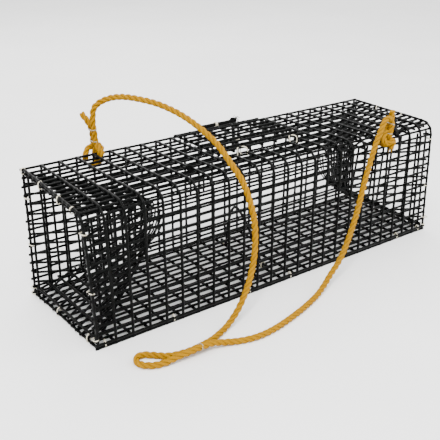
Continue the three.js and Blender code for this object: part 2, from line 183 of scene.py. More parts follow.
class Sweeps:
    """Collects round wires swept along paths into one mesh, with UVs (turn, millimetres along)."""

    def __init__(self):
        self.verts = []
        self.faces = []
        self.uvs = []

    def add(self, path, radius, sides=8, closed=False):
        """radius is one number, or one for each point of the path."""
        path = [Vector(p) for p in path]
        radii = radius if hasattr(radius, "__len__") else [radius] * len(path)
        frames = carried_frames(path)
        base = len(self.verts)
        along = 0.0
        lengths = []
        for i, (point, (_, side, up), r) in enumerate(zip(path, frames, radii)):
            along += (point - path[i - 1]).length if i else 0.0
            lengths.append(along)
            for k in range(sides):
                angle = 2 * math.pi * k / sides
                self.verts.append(point + (side * math.cos(angle) + up * math.sin(angle)) * r)
        rings = len(path)
        for i in range(rings if closed else rings - 1):
            j = (i + 1) % rings
            far = lengths[j] if j else along + (path[0] - path[-1]).length
            for k in range(sides):
                n = (k + 1) % sides
                self.faces.append((base + i * sides + k, base + i * sides + n,
                                   base + j * sides + n, base + j * sides + k))
                u0, u1 = k / sides, (k + 1) / sides
                self.uvs += [(u0, lengths[i]), (u1, lengths[i]), (u1, far), (u0, far)]
        if not closed:
            self._cap(path[0] - frames[0][0] * radii[0] * 0.45, base, sides, True, lengths[0])
            self._cap(path[-1] + frames[-1][0] * radii[-1] * 0.45,
                      base + (rings - 1) * sides, sides, False, lengths[-1])

    def _cap(self, tip, ring, sides, start, along):
        self.verts.append(tip)
        centre = len(self.verts) - 1
        for k in range(sides):
            n = (k + 1) % sides
            pair = (ring + n, ring + k) if start else (ring + k, ring + n)
            self.faces.append((*pair, centre))
            self.uvs += [(k / sides, along)] * 3

    def make(self, name, material, body, replaced=()):
        mesh = bpy.data.meshes.new(name)
        mesh.from_pydata([v * MM for v in self.verts], [], self.faces)
        layer = mesh.uv_layers.new(name="UVMap")
        layer.data.foreach_set("uv", [c for uv in self.uvs for c in uv])
        mesh.shade_smooth()
        mesh.materials.append(material)
        obj = bpy.data.objects.new(name, mesh)
        bpy.context.scene.collection.objects.link(obj)
        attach(obj, body)
        if replaced:
            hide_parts(*replaced)
        return obj


# ---- Materials ----

class Nodes:
    """A material's node tree, built by name."""

    def __init__(self, name):
        self.material = bpy.data.materials.new(name)
        self.material.use_nodes = True
        self.tree = self.material.node_tree
        self.shader = self.tree.nodes["Principled BSDF"]

    def add(self, kind, inputs=None, **settings):
        node = self.tree.nodes.new(kind)
        for key, value in settings.items():
            setattr(node, key, value)
        for key, value in (inputs or {}).items():
            self.put(node, key, value)
        return node

    def put(self, node, key, value):
        if isinstance(value, bpy.types.NodeSocket):
            self.tree.links.new(value, node.inputs[key])
        else:
            node.inputs[key].default_value = value

    def math(self, operation, a, b=0.0):
        return self.add("ShaderNodeMath", {0: a, 1: b}, operation=operation).outputs[0]

    def noise(self, vector, scale, detail=3.0, roughness=0.5):
        values = {"Vector": vector, "Scale": scale, "Detail": detail, "Roughness": roughness}
        return self.add("ShaderNodeTexNoise", values).outputs["Fac"]

    def ramp(self, factor, stops):
        node = self.add("ShaderNodeValToRGB", {"Fac": factor})
        elements = node.color_ramp.elements
        for element, (position, color) in zip(elements, (stops[0], stops[-1])):
            element.position = position
            element.color = (*color, 1)
        for position, color in stops[1:-1]:
            elements.new(position).color = (*color, 1)
        return node.outputs["Color"]

    def span(self, factor, low, high):
        values = {"Value": factor, "To Min": low, "To Max": high}
        return self.add("ShaderNodeMapRange", values).outputs["Result"]

    def bump(self, height, strength, distance):
        values = {"Height": height, "Strength": strength, "Distance": distance}
        return self.add("ShaderNodeBump", values).outputs["Normal"]


def object_position(nodes):
    return nodes.add("ShaderNodeTexCoord").outputs["Object"]


def uv_parts(nodes):
    """(turns, millimetres along) of a swept wire."""
    uv = nodes.add("ShaderNodeUVMap", uv_map="UVMap").outputs["UV"]
    split = nodes.add("ShaderNodeSeparateXYZ", {"Vector": uv})
    return split.outputs["X"], split.outputs["Y"]


def vinyl_coating(name, dark, worn, gloss, specular):
    """Dipped vinyl on wire: near-black, orange-peel surface, a little dull dust."""
    nodes = Nodes(name)
    place = object_position(nodes)
    patches = nodes.noise(place, 55.0, 4.0)
    nodes.put(nodes.shader, "Base Color", nodes.ramp(patches, [(0.35, dark), (0.75, worn)]))
    nodes.put(nodes.shader, "Roughness", nodes.span(nodes.noise(place, 140.0), gloss, gloss + 0.2))
    peel = nodes.noise(place, 900.0, 2.0)
    lumps = nodes.noise(place, 260.0, 2.0)
    height = nodes.math("ADD", nodes.math("MULTIPLY", peel, 0.35), lumps)
    nodes.put(nodes.shader, "Normal", nodes.bump(height, 0.35, 0.0006))
    nodes.shader.inputs["Specular IOR Level"].default_value = specular
    return nodes.material


def galvanised_wire(name, light):
    """Zinc-coated ring wire with a yellowed, slightly stained surface; light is its palest shade."""
    nodes = Nodes(name)
    place = object_position(nodes)
    stain = nodes.noise(place, 320.0, 4.0)
    pale = Vector(light)
    zinc = [(0.3, pale * 0.42), (0.48, pale * 0.85), (0.8, pale)]
    nodes.put(nodes.shader, "Base Color", nodes.ramp(stain, zinc))
    nodes.put(nodes.shader, "Roughness", nodes.span(stain, 0.5, 0.28))
    nodes.put(nodes.shader, "Normal", nodes.bump(nodes.noise(place, 1500.0), 0.3, 0.0003))
    nodes.shader.inputs["Metallic"].default_value = 0.3
    return nodes.material


def rope_yarn(name):
    """Polypropylene strands: golden yarns laid at a slant to each strand, with shade painted into the
    grooves between yarns as darker orange.
    """
    nodes = Nodes(name)
    turns, along = uv_parts(nodes)
    slant = nodes.math("ADD", nodes.math("MULTIPLY", turns, 9.0), nodes.math("MULTIPLY", along, -0.42))
    yarn_ridges_and_groove_shade = nodes.math("ABSOLUTE", nodes.math("SINE", nodes.math("MULTIPLY", slant, math.pi)))
    place = object_position(nodes)
    fibre = nodes.noise(place, 2600.0, 3.0, 0.7)
    patches = nodes.noise(place, 70.0, 3.0)
    mottle = nodes.math("ADD", nodes.math("MULTIPLY", fibre, 0.28), nodes.math("MULTIPLY", patches, 0.22))
    # Painted shade: the grooves between yarns are coloured darker orange; the mottle is the yarn's own
    # uneven tone.
    groove_shade_and_mottle = nodes.math("ADD", nodes.math("MULTIPLY", yarn_ridges_and_groove_shade, 0.5), mottle)
    gold_and_groove_shade = [(0.15, (0.1, 0.02, 0.0)), (0.42, (0.25, 0.108, 0.0)), (0.8, (0.37, 0.19, 0.0))]
    nodes.put(nodes.shader, "Base Color", nodes.ramp(groove_shade_and_mottle, gold_and_groove_shade))
    nodes.put(nodes.shader, "Roughness", nodes.span(fibre, 0.6, 0.42))
    height = nodes.math("ADD", nodes.math("MULTIPLY", yarn_ridges_and_groove_shade, 0.75), nodes.math("MULTIPLY", fibre, 0.4))
    nodes.put(nodes.shader, "Normal", nodes.bump(height, 0.8, 0.0005))
    nodes.shader.inputs["Specular IOR Level"].default_value = 0.05
    return nodes.material


def braided_sheath(name):
    """Black braid of the elastic cord: two families of yarns crossing, with shade painted a little darker
    into the hollows between raised crossings.
    """
    nodes = Nodes(name)
    turns, along = uv_parts(nodes)
    waves = []
    for lean in (0.55, -0.55):
        slant = nodes.math("ADD", nodes.math("MULTIPLY", turns, 6.0), nodes.math("MULTIPLY", along, lean))
        waves.append(nodes.math("SINE", nodes.math("MULTIPLY", slant, 2 * math.pi)))
    braid_ridges_and_hollow_shade = nodes.math("MULTIPLY", waves[0], waves[1])
    fuzz = nodes.noise(object_position(nodes), 1800.0, 3.0)
    # Painted shade: the braid's hollows are coloured a touch darker than its raised crossings.
    black_and_hollow_shade = [(0.2, (0.001, 0.001, 0.001)), (0.9, (0.004, 0.0042, 0.004))]
    nodes.put(nodes.shader, "Base Color", nodes.ramp(nodes.span(braid_ridges_and_hollow_shade, 0.0, 1.0), black_and_hollow_shade))
    nodes.put(nodes.shader, "Roughness", nodes.span(fuzz, 0.95, 0.7))
    nodes.put(nodes.shader, "Normal", nodes.bump(nodes.math("ADD", braid_ridges_and_hollow_shade, fuzz), 0.6, 0.0004))
    nodes.shader.inputs["Specular IOR Level"].default_value = 0.08
    return nodes.material


def studio_floor(name):
    """A pale, almost matt sweep."""
    nodes = Nodes(name)
    place = object_position(nodes)
    paper = [(0.3, (0.91, 0.91, 0.905)), (0.7, (0.95, 0.95, 0.945))]
    nodes.put(nodes.shader, "Base Color", nodes.ramp(nodes.noise(place, 3.0, 4.0), paper))
    nodes.put(nodes.shader, "Roughness", 0.6)
    nodes.put(nodes.shader, "Normal", nodes.bump(nodes.noise(place, 240.0), 0.05, 0.0005))
    return nodes.material


COATED = vinyl_coating("coated_wire", (0.0004, 0.0005, 0.00045), (0.0018, 0.0022, 0.002), 0.24, 0.06)
CLIP_COATED = vinyl_coating("clip_wire", (0.0008, 0.001, 0.001), (0.0025, 0.003, 0.0028), 0.34, 0.08)
HOOK_STEEL = vinyl_coating("hook_wire", (0.002, 0.002, 0.002), (0.006, 0.006, 0.0058), 0.36, 0.15)
GALVANISED = galvanised_wire("hog_ring", (0.8, 0.74, 0.58))
DULL_STEEL = galvanised_wire("rope_clamp", (0.36, 0.32, 0.22))
ROPE_YARN = rope_yarn("rope")
BRAID = braided_sheath("shock_cord")


# ---- The wrapped body of welded mesh ----

def profile_length():
    flat = (2 * HALF_WIDTH - SHARP_RADIUS) + (HEIGHT - 2 * SHARP_RADIUS)
    flat += (2 * HALF_WIDTH - SHARP_RADIUS - BEND_RADIUS) + (HEIGHT - BEND_RADIUS)
    return flat + math.pi / 2 * (2 * SHARP_RADIUS + BEND_RADIUS)


def profile(s, inset):
    """(y, z) at distance s round the outer surface from the front bottom seam, going by the back."""
    w, h, r, big = HALF_WIDTH, HEIGHT, SHARP_RADIUS, BEND_RADIUS
    pieces = [
        ("line", 2 * w - r, (-w, inset), (1, 0)),
        ("arc", r, (w - r, r), -90),
        ("line", h - 2 * r, (w - inset, r), (0, 1)),
        ("arc", r, (w - r, h - r), 0),
        ("line", 2 * w - r - big, (w - r, h - inset), (-1, 0)),
        ("arc", big, (-w + big, h - big), 90),
        ("line", h - big, (-w + inset, h - big), (0, -1)),
    ]
    for kind, size, origin, way in pieces:
        length = size if kind == "line" else size * math.pi / 2
        # The last line, down the front wall, may run on past its end.
        if s <= length or way == (0, -1):
            if kind == "line":
                return origin[0] + way[0] * s, origin[1] + way[1] * s
            angle = math.radians(way) + s / size
            radius = size - inset
            return origin[0] + radius * math.cos(angle), origin[1] + radius * math.sin(angle)
        s -= length


def skewed(point):
    """The box as folded by hand: its ends not quite square, one corner dented."""
    x, y, z = point
    back = min(1.0, max(0.0, (y + HALF_WIDTH) / (2 * HALF_WIDTH)))
    top = min(1.0, max(0.0, z / HEIGHT))
    low, high = LEFT_SKEW if x < 0 else RIGHT_SKEW
    floor_shift = low[0] + (low[1] - low[0]) * back
    top_shift = high[0] + (high[1] - high[0]) * back
    share = (x / HALF_LENGTH) ** 2
    dent = max(0.0, 1 - (x + HALF_LENGTH) / DENT_REACH) ** 2 * (1 - back) * top ** 1.5
    slant = (floor_shift + (top_shift - floor_shift) * top) * share
    return Vector((x + slant, y + DENT_IN * dent, z - DENT_DOWN * dent))


def settled(point, size=0.55):
    """Small dents and waves of hand-worked mesh, the same for wires that cross."""
    p = skewed(point)
    broad = noise.noise_vector(p * 0.013) * size
    fine = noise.noise_vector(p * 0.041 + Vector((9, 4, 2))) * size * 0.45
    return p + (broad + fine)


def crowned(point):
    """The top sheet rises a little towards its front bend."""
    x, y, z = point
    lift = max(0.0, (z - 170) / 18) * CROWN * math.exp(-((y + 62) / 30) ** 2) * math.cos(x / 210)
    return Vector((x, y, z + lift))


def lengthwise_inset(index):
    """How deep a lengthwise wire lies: along the folds and the seam it is level with the cross wires."""
    folds = {0, LENGTHWISE_CELLS[0], sum(LENGTHWISE_CELLS[:2]), sum(LENGTHWISE_CELLS)}
    return WIRE_RADIUS - BEDDED_STEP if index in folds else WIRE_RADIUS + LAYER_STEP


def on_body(x, s, inset):
    """The point of the body at x, a distance s round the profile; the floor stays flat."""
    y, z = profile(s, inset)
    p = settled(crowned((x, y, z)))
    return p if z > 6 else Vector((p.x, p.y, z))


def lengthwise_stations():
    """Where the lengthwise wires lie round the profile: even between the folds and the hinge wire."""
    fold = SHARP_RADIUS * math.pi / 4
    back_bottom = 2 * HALF_WIDTH - SHARP_RADIUS + fold
    back_top = back_bottom + 2 * fold + HEIGHT - 2 * SHARP_RADIUS
    knots = [SEAM_START, back_bottom, back_top, length_at_top(HINGE_WIRE_Y), profile_length() - SEAM_END]
    stations = [SEAM_START]
    for first, last, cells in zip(knots, knots[1:], LENGTHWISE_CELLS):
        stations += evenly(first, last, cells)[1:]
    return stations


def cross_stations():
    edge = HALF_LENGTH - WIRE_RADIUS
    return evenly(-edge, edge, CROSS_CELLS)


def weld_samples(first, last, welds):
    """Stations along a wire from first to last, with a swelling of the coating at each weld."""
    stations = {first: 0.0, last: 0.0}
    for weld in welds:
        for offset, swell in ((-2.6, 0.0), (-1.1, 0.8), (0.0, 1.0), (1.1, 0.8), (2.6, 0.0)):
            if first < weld + offset < last:
                stations[weld + offset] = swell
    ordered = sorted(stations)
    filled = []
    for a, b in zip(ordered, ordered[1:]):
        filled.append((a, stations[a]))
        if b - a > 9:
            filled.append(((a + b) / 2, 0.0))
    filled.append((ordered[-1], stations[ordered[-1]]))
    return filled


def cut_by_opening(y, z):
    """Whether a lengthwise wire at this height and depth runs into the hatch opening."""
    return z > HEIGHT - BEND_RADIUS and OPENING_Y[0] < y < OPENING_Y[1]


def swollen(swell):
    return WIRE_RADIUS * (1 + WELD_SWELLING * swell)


def body_mesh():
    """One sheet of welded mesh wrapped round the trap, its cross wires outside its lengthwise wires."""
    sweeps = Sweeps()
    across, around = cross_stations(), lengthwise_stations()
    rng = random.Random(4)
    first_end, last_end = SEAM_START - 1.0, profile_length() - SEAM_END + 1.0
    hatch_cuts = (length_at_top(OPENING_Y[1]), length_at_top(OPENING_Y[0]))
    for x in across:
        # A cross wire wraps the whole trap; where the hatch opening cuts it there are two lengths.
        spans = [(first_end, last_end)]
        if OPENING_X[0] < x < OPENING_X[1]:
            spans = [(first_end, hatch_cuts[0] - 1.0), (hatch_cuts[1] + 1.0, last_end)]
        for first, last in spans:
            samples = weld_samples(first, last, around)
            path = [on_body(x, s, WIRE_RADIUS) for s, _ in samples]
            sweeps.add(path, [swollen(w) for _, w in samples])
    for index, s in enumerate(around):
        inset = lengthwise_inset(index)
        y, z = profile(s, inset)
        ends = (-HALF_LENGTH - rng.uniform(0.2, 1) * STUB, HALF_LENGTH + rng.uniform(0.2, 1) * STUB)
        spans = [ends]
        if cut_by_opening(y, z):
            left_stub, right_stub = rng.uniform(-2.5, 1), rng.uniform(-1, 0.5)
            spans = [(ends[0], OPENING_X[0] + left_stub), (OPENING_X[1] + right_stub, ends[1])]
        for first, last in spans:
            samples = weld_samples(first, last, across)
            path = [on_body(x, s, inset) for x, _ in samples]
            sweeps.add(path, [swollen(w) for _, w in samples])
    nodes = ["body_floor", "body_front_wall", "body_back_wall", "body_top", "body_front_bend"]
    return sweeps.make("body_mesh", COATED, "trap", nodes)


def length_at_top(y):
    """Distance round the profile to a point of the flat top."""
    top_start = profile_length() - (HEIGHT - BEND_RADIUS) - BEND_RADIUS * math.pi / 2
    return top_start - (y + HALF_WIDTH - BEND_RADIUS)


def hatch_mesh():
    """The hatch panel, its lengthwise wires on top of the others."""
    sweeps = Sweeps()
    xs = evenly(HATCH_X[0] + WIRE_RADIUS, HATCH_X[1] - WIRE_RADIUS, HATCH_CELLS_X)
    ys = evenly(HATCH_Y[0] + WIRE_RADIUS, HATCH_Y[1] - WIRE_RADIUS, HATCH_CELLS_Y)

    # Waves taken from higher up differ from the body's own, and the hinged edge stays straight.
    away = Vector((0, 0, 40))

    def laid(x, y, z):
        if y < HATCH_Y[0] + 6:
            return Vector((x, y, z))
        return settled(Vector((x, y, z)) + away, 0.4) - away

    for y in ys:
        samples = weld_samples(HATCH_X[0] - HATCH_OVERHANG, HATCH_X[1] + HATCH_OVERHANG, xs)
        # The rear wire is bedded level with the wires that it crosses.
        z = HATCH_WIRE_Z + (BEDDED_STEP if y == ys[-1] else LAYER_STEP)
        sweeps.add([laid(x, y, z) for x, _ in samples], [swollen(w) for _, w in samples])
    for x in xs:
        samples = weld_samples(HATCH_Y[0] - 0.3, HATCH_Y[1] + 0.6, ys)
        sweeps.add([laid(x, y, HATCH_WIRE_Z) for y, _ in samples], [swollen(w) for _, w in samples])
    return sweeps.make("hatch_mesh", COATED, "hatch", ["hatch_door"])


# ---- Funnel entrances ----

class Panel:
    """One side of a funnel: mesh between an edge of its rim and an edge of its mouth.

    Its long wires run straight in from the rim and are cut where they meet the next panel.
    """

    def __init__(self, rim_start, rim_end, mouth_start, mouth_end):
        self.corners = [Vector(p) for p in (rim_start, rim_end, mouth_start, mouth_end)]
        start, end, inner_start, inner_end = self.corners
        self.along = (end - start).normalized()
        self.width = (end - start).length
        self.start_cut = (inner_start - start).dot(self.along)
        self.end_cut = (end - inner_end).dot(self.along)
        self.depth = ((inner_start + inner_end) / 2 - (start + end) / 2).length
        centre = sum(self.corners, Vector()) / 4
        self.inward = (Vector((centre.x, 0, (MOUTH_LOW + MOUTH_HIGH) / 2)) - centre).normalized()

    def point(self, a, t, lift=0.0):
        """The point a millimetres along the rim and t of the way in, lifted towards the funnel's axis."""
        low = self.start_cut * t
        high = self.width - self.end_cut * t
        share = (a - low) / (high - low)
        start, end, inner_start, inner_end = self.corners
        outer = start.lerp(end, share)
        inner = inner_start.lerp(inner_end, share)
        return outer.lerp(inner, t) + self.inward * lift

    def reach(self, a):
        """How far in a long wire goes before it meets the next panel, at most 1."""
        limits = [1.0]
        if self.start_cut > 0:
            limits.append(a / self.start_cut)
        if self.end_cut > 0:
            limits.append((self.width - a) / self.end_cut)
        return min(limits)


def funnel_panels(direction):
    """The four panels of one funnel; direction is -1 for the left end and 1 for the right."""
    rim_x, mouth_x = direction * RIM_X, direction * MOUTH_X

    def rim(y, z):
        return (rim_x, y, z)

    def mouth(side, z):
        half = MOUTH_HALF_LOW if z == MOUTH_LOW else MOUTH_HALF_HIGH
        return (mouth_x, side * half, z)

    w = RIM_HALF_WIDTH
    low_front, low_back = mouth(-1, MOUTH_LOW), mouth(1, MOUTH_LOW)
    high_front, high_back = mouth(-1, MOUTH_HIGH), mouth(1, MOUTH_HIGH)
    return {
        "top": Panel(rim(-w + RIM_BEND, RIM_HIGH), rim(w, RIM_HIGH), high_front, high_back),
        "bottom": Panel(rim(-w, RIM_LOW), rim(w, RIM_LOW), low_front, low_back),
        "front": Panel(rim(-w, RIM_LOW), rim(-w, RIM_HIGH - RIM_BEND), low_front, high_front),
        "back": Panel(rim(w, RIM_LOW), rim(w, RIM_HIGH), low_back, high_back),
    }


def add_panel(sweeps, panel, rng):
    """The crossing wires of one panel, with their cut ends left sticking out."""
    count = int(panel.width / FUNNEL_PITCH)
    offset = (panel.width - count * FUNNEL_PITCH) / 2
    crossings = [0.02]
    while crossings[-1] + FUNNEL_PITCH / panel.depth < 1.02:
        crossings.append(crossings[-1] + FUNNEL_PITCH / panel.depth)
    for i in range(count + 1):
        a = min(panel.width - 1.5, max(1.5, offset + i * FUNNEL_PITCH))
        end = min(panel.reach(a) + rng.uniform(0.005, 0.045), 1.04)
        if end < 0.06:
            continue
        steps = max(2, round(end * 9))
        path = [settled(panel.point(a, t), FUNNEL_UNEVENNESS) for t in evenly(0.0, end, steps)]
        sweeps.add(path, FUNNEL_WIRE, 7)
    for t in crossings:
        low = panel.start_cut * t - rng.uniform(1, 5)
        high = panel.width - panel.end_cut * t + rng.uniform(1, 5)
        steps = max(2, round((high - low) / 14))
        path = [settled(panel.point(a, t, LAYER_STEP), FUNNEL_UNEVENNESS) for a in evenly(low, high, steps)]
        sweeps.add(path, FUNNEL_WIRE, 7)


def add_junctions(sweeps, panels, rng):
    """The seam along each corner of the funnel, closed with bent wire ends."""
    corners = [(panels["bottom"], 0), (panels["bottom"], 1), (panels["top"], 0), (panels["top"], 1)]
    for panel, side in corners:
        rim_corner, mouth_corner = panel.corners[side], panel.corners[side + 2]
        seam = [settled(rim_corner.lerp(mouth_corner, t), FUNNEL_UNEVENNESS) for t in evenly(0.0, 1.0, 8)]
        sweeps.add(seam, FUNNEL_WIRE, 7)
        for k in range(9):
            share = (k + rng.uniform(0.2, 0.8)) / 9
            spot = settled(rim_corner.lerp(mouth_corner, share), FUNNEL_UNEVENNESS)
            way = Vector((rng.uniform(-1, 1), rng.uniform(-1, 1), rng.uniform(-1, 1))).normalized()
            bend = spot + way * 3.4
            tip = bend + panel.along * rng.uniform(-5, 5)
            sweeps.add([spot - way * 3.6, spot, bend, tip], FUNNEL_WIRE * 0.85, 6)


def add_prongs(sweeps, direction, rng):
    """Free wires that rise from the mouth's lower edge and fan out, leaning into the trap."""
    x = direction * MOUTH_X
    for i in range(PRONGS):
        place = 2 * i / (PRONGS - 1) - 1
        foot = place * MOUTH_HALF_LOW * 1.05
        head = place * MOUTH_HALF_HIGH + rng.uniform(-1.2, 1.2)
        inward = -direction * (PRONG_LEAN + rng.uniform(-3.0, 3.0))
        top = PRONG_TOP + rng.uniform(-5.0, 5.0) - 6 * abs(place)
        path = smooth_path([
            (x + direction * 12, foot * 1.05, MOUTH_LOW - 5.5), (x, foot, MOUTH_LOW + 1.5),
            (x + inward * 0.35, foot * 1.25, MOUTH_LOW + 9),
            (x + inward * 0.85, head * 0.86, MOUTH_LOW + 27), (x + inward, head, top)], 6)
        sweeps.add([settled(p, 0.5) for p in path], PRONG_RADIUS, 7)
    # Short cut ends bend down from the mouth's upper edge.
    for i in range(7):
        y = (i / 3 - 1) * MOUTH_HALF_HIGH
        start = Vector((x + direction * 5, y, MOUTH_HIGH + 1.5))
        middle = start + Vector((-direction * 6, 0, -0.5))
        end = middle + Vector((-direction * rng.uniform(1, 6), rng.uniform(-3, 3), -rng.uniform(4, 9)))
        sweeps.add([settled(p, 0.5) for p in (start, middle, end)], PRONG_RADIUS, 7)


def funnel_mesh(side, direction):
    sweeps = Sweeps()
    rng = random.Random(11 + direction)
    panels = funnel_panels(direction)
    for panel in panels.values():
        add_panel(sweeps, panel, rng)
    add_junctions(sweeps, panels, rng)
    add_prongs(sweeps, direction, rng)
    nodes = [f"{side}_funnel_{place}" for place in panels]
    return sweeps.make(f"{side}_funnel_mesh", COATED, "trap", nodes)


# ---- Hog rings ----

def add_hog_ring(name, centre, half_u, half_v, normal_axis, wire=0.95, tilt=0.0, replaced=()):
    """A bent wire ring on the trap: an oval with its two pointed ends lapped side by side."""
    axes = [Vector((1, 0, 0)), Vector((0, 1, 0)), Vector((0, 0, 1))]
    normal = axes.pop(normal_axis)
    u, v = axes
    lean = Matrix.Rotation(tilt, 3, v)
    sweeps = Sweeps()
    path, radii = [], []
    steps = 26
    for i in range(steps + 1):
        turn = i / steps
        angle = 2 * math.pi * (turn * 1.06 - 0.03) + math.pi / 2
        c, s = math.cos(angle), math.sin(angle)
        shape = (abs(c) ** 2.6 + abs(s) ** 2.6) ** (-1 / 2.6)
        lap = (turn - 0.5) * 1.5 * wire
        spot = u * (half_u + wire) * c * shape + v * (half_v + wire) * s * shape + normal * lap
        path.append(centre + lean @ spot)
        taper = min(turn, 1 - turn) * steps
        radii.append(wire * min(1.0, 0.45 + 0.28 * taper))
    sweeps.add(path, radii, 8)
    return sweeps.make(name, GALVANISED, "trap", replaced)


def hog_ring(node, half_u, half_v, normal_axis, shift=(0, 0, 0), **shape):
    """The bent wire ring that stands for a CAD ring, in its place or `shift` from it."""
    low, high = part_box(node)
    centre = skewed((low + high) / 2 / MM) + Vector(shift)
    add_hog_ring(f"{node}_wire", centre, half_u, half_v, normal_axis, replaced=[node], **shape)


# ---- Rope ----

BRIDLE = [
    (-198, 91.8, 212.4), (-199, 92, 232), (-196, 90.5, 251), (-185.5, 83, 261), (-170, 64, 267.5),
    (-147, 32, 265), (-132, 12, 259), (-119, -12, 249.5), (-109, -36, 237), (-100.5, -62, 220.2),
    (-95.2, -86, 198.6), (-87.2, -99.5, 176.5), (-79.8, -108, 146), (-78, -114, 123), (-81, -120, 100),
    (-87.3, -126, 78), (-97, -132, 58), (-110, -138, 39.7), (-125.4, -142, 20.8), (-144, -146, 7),
    (-163, -153.5, 4.6), (-181, -160.5, 5.2), (-205, -165.2, 6.3), (-224, -163.5, 5),
    (-243.2, -156.7, 4.3), (-257, -144.5, 4.3), (-268, -136.2, 4.3), (-278, -139.5, 4.3),
    (-279, -152.5, 4.3), (-267, -163.5, 4.3), (-254, -167.2, 5), (-238, -169.6, 8), (-221, -171.5, 9.8),
    (-205, -172.1, 10.5), (-187, -172.6, 9.2), (-170, -176, 5.6), (-152, -182.5, 4.3),
    (-131, -187.5, 4.3), (-102.7, -186.7, 4.3), (-61, -177.6, 4.3), (-21.7, -165.4, 4.4),
    (12, -152, 5.8), (40.2, -142, 18.2), (67, -135, 35.3), (90.5, -128, 64.3), (109.8, -121, 95.1),
    (126.2, -114, 126), (141.5, -108, 154.1), (155.6, -103, 177.6), (167.6, -100, 195.6),
    (172.7, -99, 204.6), (178.6, -97.8, 211.6), (186.6, -96.2, 214.6), (194.4, -95.2, 211.6),
    (198.4, -95, 204.5), (197.6, -95, 197.4),
]
LEFT_ANCHOR = [
    (-206, 111, 240), (-201, 103, 229), (-197.5, 100.4, 218), (-197, 100.2, 205), (-197, 97.6, 192),
    (-197, 95.75, 182.75), (-197, 93.4, 177.1), (-197, 87.75, 174.75), (-197, 82.1, 177.1),
    (-197, 79.75, 182.75), (-197, 81.4, 191), (-197, 89.3, 198), (-197.6, 91.6, 205),
]
RIGHT_ANCHOR = [
    (197.3, -95, 196), (194.8, -95.3, 189), (193.6, -96.4, 182.5), (194.6, -96.4, 176.5),
    (194.6, -93.2, 172.6), (193.3, -86.5, 170.9), (192, -81, 172.4), (191, -79, 176.5),
    (191, -79.6, 181.5), (192.5, -82.2, 188),
    (196.5, -86, 195), (200.5, -88.6, 203.5), (203, -89.6, 212), (203.3, -88.6, 222),
]


def rope_strand_paths(centre_line):
    """The paths of the strands twisted round a rope's centre line."""
    outside = ROPE_RADIUS * ROPE_FULLNESS
    strand_radius = outside / (1 + 2 / math.sqrt(3))
    helix = outside - strand_radius
    frames = carried_frames(centre_line)
    strands = [[] for _ in range(STRANDS)]
    along = 0.0
    for i, (point, (_, side, up)) in enumerate(zip(centre_line, frames)):
        along += (point - centre_line[i - 1]).length if i else 0.0
        for k, strand in enumerate(strands):
            angle = 2 * math.pi * (k / STRANDS + along / LAY_LENGTH)
            strand.append(point + (side * math.cos(angle) + up * math.sin(angle)) * helix)
    return strands, strand_radius * 1.04


def nearest_index(path, place):
    """The index of the path's point that is nearest to a place."""
    return min(range(len(path)), key=lambda i: (path[i] - Vector(place)).length)


def rope_pieces():
    """One continuous rope, made in three lengths: the two anchor loops and the bridle between them."""
    whole = smooth_path(LEFT_ANCHOR + BRIDLE + RIGHT_ANCHOR, ROPE_STEP)
    start = nearest_index(whole, BRIDLE[0])
    end = nearest_index(whole, BRIDLE[-1])
    strands, radius = rope_strand_paths(whole)
    made = []
    for name, node, first, last in (
            ("rope_left_loop", "rope_left_anchor", 0, start),
            ("rope_bridle_laid", "rope_bridle", start, end),
            ("rope_right_loop", "rope_right_anchor", end, len(whole) - 1)):
        sweeps = Sweeps()
        for strand in strands:
            sweeps.add(strand[first:last + 1], radius, 10)
        made.append(sweeps.make(name, ROPE_YARN, "trap", [node]))
    return made, whole[start:end + 1], whole


def rope_crossings(path, centre, normal):
    """The two points nearest to centre where the rope's centre line passes through a ring's plane."""
    found = []
    for a, b in zip(path, path[1:]):
        before, after = (a - centre).dot(normal), (b - centre).dot(normal)
        if before * after <= 0 and before != after:
            found.append(a.lerp(b, before / (before - after)))
    found.sort(key=lambda p: (p - centre).length)
    return found[0], found[1]


def rope_ring(node, path, normal):
    """A clamp ring pinched tight round the two strands that pass through the CAD ring."""
    points = [v.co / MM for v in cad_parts[node].data.vertices]
    a, b = rope_crossings(path, sum(points, Vector()) / len(points), normal)
    centre = (a + b) / 2
    wide = (b - a).normalized()
    other = normal.cross(wide).normalized()
    half_wide = (b - a).length / 2 + ROPE_RADIUS * 0.92
    half_other = ROPE_RADIUS * 0.95
    wire = 0.8
    sweeps = Sweeps()
    loop, radii = [], []
    steps = 44
    for i in range(steps + 1):
        turn = i / steps
        angle = 2 * math.pi * (turn * 1.05 - 0.025)
        c, s = math.cos(angle), math.sin(angle)
        shape = (abs(c) ** 3 + abs(s) ** 3) ** (-1 / 3)
        lap = normal * (turn - 0.5) * 1.6 * wire
        loop.append(centre + wide * half_wide * c * shape + other * half_other * s * shape + lap)
        radii.append(wire * min(1.0, 0.5 + 0.25 * min(turn, 1 - turn) * steps))
    sweeps.add(loop, radii, 8)
    return sweeps.make(f"{node}_wire", DULL_STEEL, "trap", [node])


# ---- Latch and bait clip ----

def frayed_end(sweeps, tip, direction, rng, count=16, reach=8.0):
    """Loose yarns fanning out from a cut end."""
    for _ in range(count):
        spread = Vector((rng.uniform(-1, 1), rng.uniform(-1, 1), rng.uniform(-1, 1)))
        heading = (direction + spread * 0.55).normalized()
        start = tip + spread * 1.2
        middle = start + heading * reach * 0.5 + spread * 0.8
        end = middle + (heading + Vector((0, 0, -0.35))).normalized() * reach * rng.uniform(0.3, 0.6)
        sweeps.add([start, middle, end], [0.55, 0.4, 0.2], 5)


